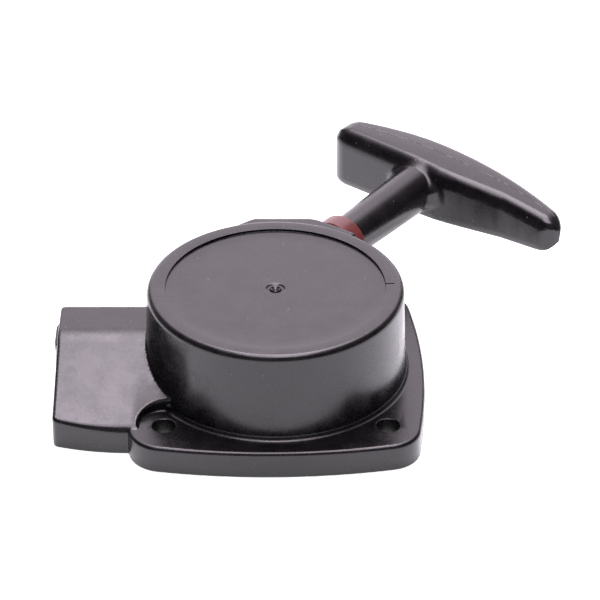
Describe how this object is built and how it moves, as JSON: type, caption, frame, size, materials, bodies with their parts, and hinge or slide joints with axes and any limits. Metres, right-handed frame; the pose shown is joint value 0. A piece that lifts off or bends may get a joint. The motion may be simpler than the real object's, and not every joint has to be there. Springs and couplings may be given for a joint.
{
  "type": "recoil starter",
  "caption": "Pull-cord starter for a small engine: round spring and reel drum on a bolt-on flange, side air duct, red rope guide and black T-handle.",
  "frame": {"origin": "middle of the whole part's footprint, on the plane of the mounting face; the drum axis is at x -13.33 mm, y -36.95 mm", "axes": "+Z along the drum axis, away from the engine; +X from the air duct towards the side the handle reaches; +Y towards the side the rope leaves"},
  "size_m": [0.1912, 0.185, 0.0454],
  "materials": {
    "case_plastic": "black glass-filled nylon, satin from the mould",
    "grip_plastic": "black moulded plastic, satin, with light scuffs",
    "guide_plastic": "brick red moulded bush",
    "reel_plastic": "dark moulded nylon",
    "spring_steel": "blued spring steel",
    "zinc_steel": "bright zinc plate",
    "pawl_steel": "sintered steel",
    "insert_brass": "turned brass",
    "rope_cord": "braided nylon starter rope"
  },
  "bodies": {
    "case": {"starter_case": "case_plastic", "rope_guide": "guide_plastic", "post_insert": "insert_brass", "centre_screw": "zinc_steel", "lock_washer": "spring_steel", "retaining_washer": "zinc_steel", "brake_spring": "spring_steel", "thrust_washer": "zinc_steel", "rope_lead": "rope_cord"},
    "reel": {"rope_reel": "reel_plastic", "spring_cover": "zinc_steel", "mainspring": "spring_steel", "rope_winding": "rope_cord", "reel_knot": "rope_cord", "pawl_pin_a": "zinc_steel", "pawl_pin_b": "zinc_steel"},
    "cam": {"cam_plate": "zinc_steel"},
    "pawl_a_arm": {"pawl_a": "pawl_steel"},
    "pawl_b_arm": {"pawl_b": "pawl_steel"},
    "rope_end": {"handle_knot": "rope_cord", "knot_washer": "zinc_steel"},
    "grip": {"handle_grip": "grip_plastic"}
  },
  "joints": [
    {"name": "reel_spin", "type": "hinge", "parent": "case", "child": "reel", "pos_m": [-0.01333, -0.03694, 0.032], "axis": [0, 0, 1], "range_deg": [-1080, 0], "stiffness_Nm_per_rad": 0.02, "springref_deg": 538.58, "deforming": ["mainspring"]},
    {"name": "handle_pull", "type": "slide", "parent": "case", "child": "rope_end", "axis": [0.5878, 0.809, 0], "range_m": [0, 0.613], "deforming": ["rope_lead"]},
    {"name": "grip_swivel", "type": "hinge", "parent": "rope_end", "child": "grip", "pos_m": [0.04361, 0.06013, 0.032], "axis": [0.5878, 0.809, 0], "continuous": true},
    {"name": "cam_lag", "type": "hinge", "parent": "reel", "child": "cam", "pos_m": [-0.01333, -0.03694, 0.021], "axis": [0, 0, 1], "range_deg": [0, 24]},
    {"name": "pawl_a_swing", "type": "hinge", "parent": "reel", "child": "pawl_a_arm", "pos_m": [0.00167, -0.03694, 0.024], "axis": [0, 0, 1], "range_deg": [0, 27]},
    {"name": "pawl_b_swing", "type": "hinge", "parent": "reel", "child": "pawl_b_arm", "pos_m": [-0.02833, -0.03694, 0.024], "axis": [0, 0, 1], "range_deg": [0, 27]}
  ],
  "couplings": [
    {"joint": "handle_pull", "follows": "reel_spin", "m_per_rad": -0.0325},
    {"joint": "pawl_a_swing", "follows": "cam_lag", "ratio": 1.0417},
    {"joint": "pawl_b_swing", "follows": "cam_lag", "ratio": 1.0417}
  ]
}
